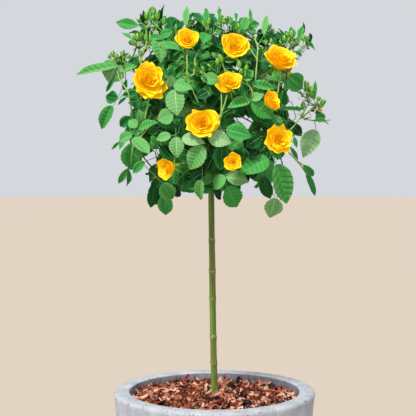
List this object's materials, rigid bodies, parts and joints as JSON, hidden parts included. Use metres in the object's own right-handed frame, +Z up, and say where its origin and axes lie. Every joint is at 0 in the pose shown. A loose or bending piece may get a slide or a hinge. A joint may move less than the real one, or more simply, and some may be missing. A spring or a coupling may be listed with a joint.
{
  "type": "standard rose bush in a pot",
  "caption": "Standard patio rose in a round concrete pot: a bare green stem carries a full rounded crown of leafy shoots with yellow double blooms and buds.",
  "frame": {"origin": "centre of the pot's flat underside", "axes": "+Z up along the stem; the side seen in the picture faces -Y; +X is to the right in the picture"},
  "size_m": [0.4964, 0.4579, 1.0781],
  "materials": {
    "concrete": "pale grey cast concrete, matt, with small pits",
    "soil": "dark moist potting soil",
    "mulch": "reddish-brown bark chips",
    "stem": "green rose bark with beige scars",
    "foliage": "mid-green satin leaves with yellow petals and green buds"
  },
  "bodies": {
    "root": {"pot": "concrete", "soil": "soil", "bark_mulch": "mulch", "stem": "stem", "bough_top": "stem", "foliage_top": "foliage", "bough_upper_front": "stem", "foliage_upper_front": "foliage", "bough_upper_right": "stem", "foliage_upper_right": "foliage", "bough_upper_back": "stem", "foliage_upper_back": "foliage", "bough_upper_left": "stem", "foliage_upper_left": "foliage", "bough_lower_front": "stem", "foliage_lower_front": "foliage", "bough_lower_right": "stem", "foliage_lower_right": "foliage", "bough_lower_back_right": "stem", "foliage_lower_back_right": "foliage", "bough_lower_back_left": "stem", "foliage_lower_back_left": "foliage", "bough_lower_left": "stem", "foliage_lower_left": "foliage"}
  },
  "joints": []
}
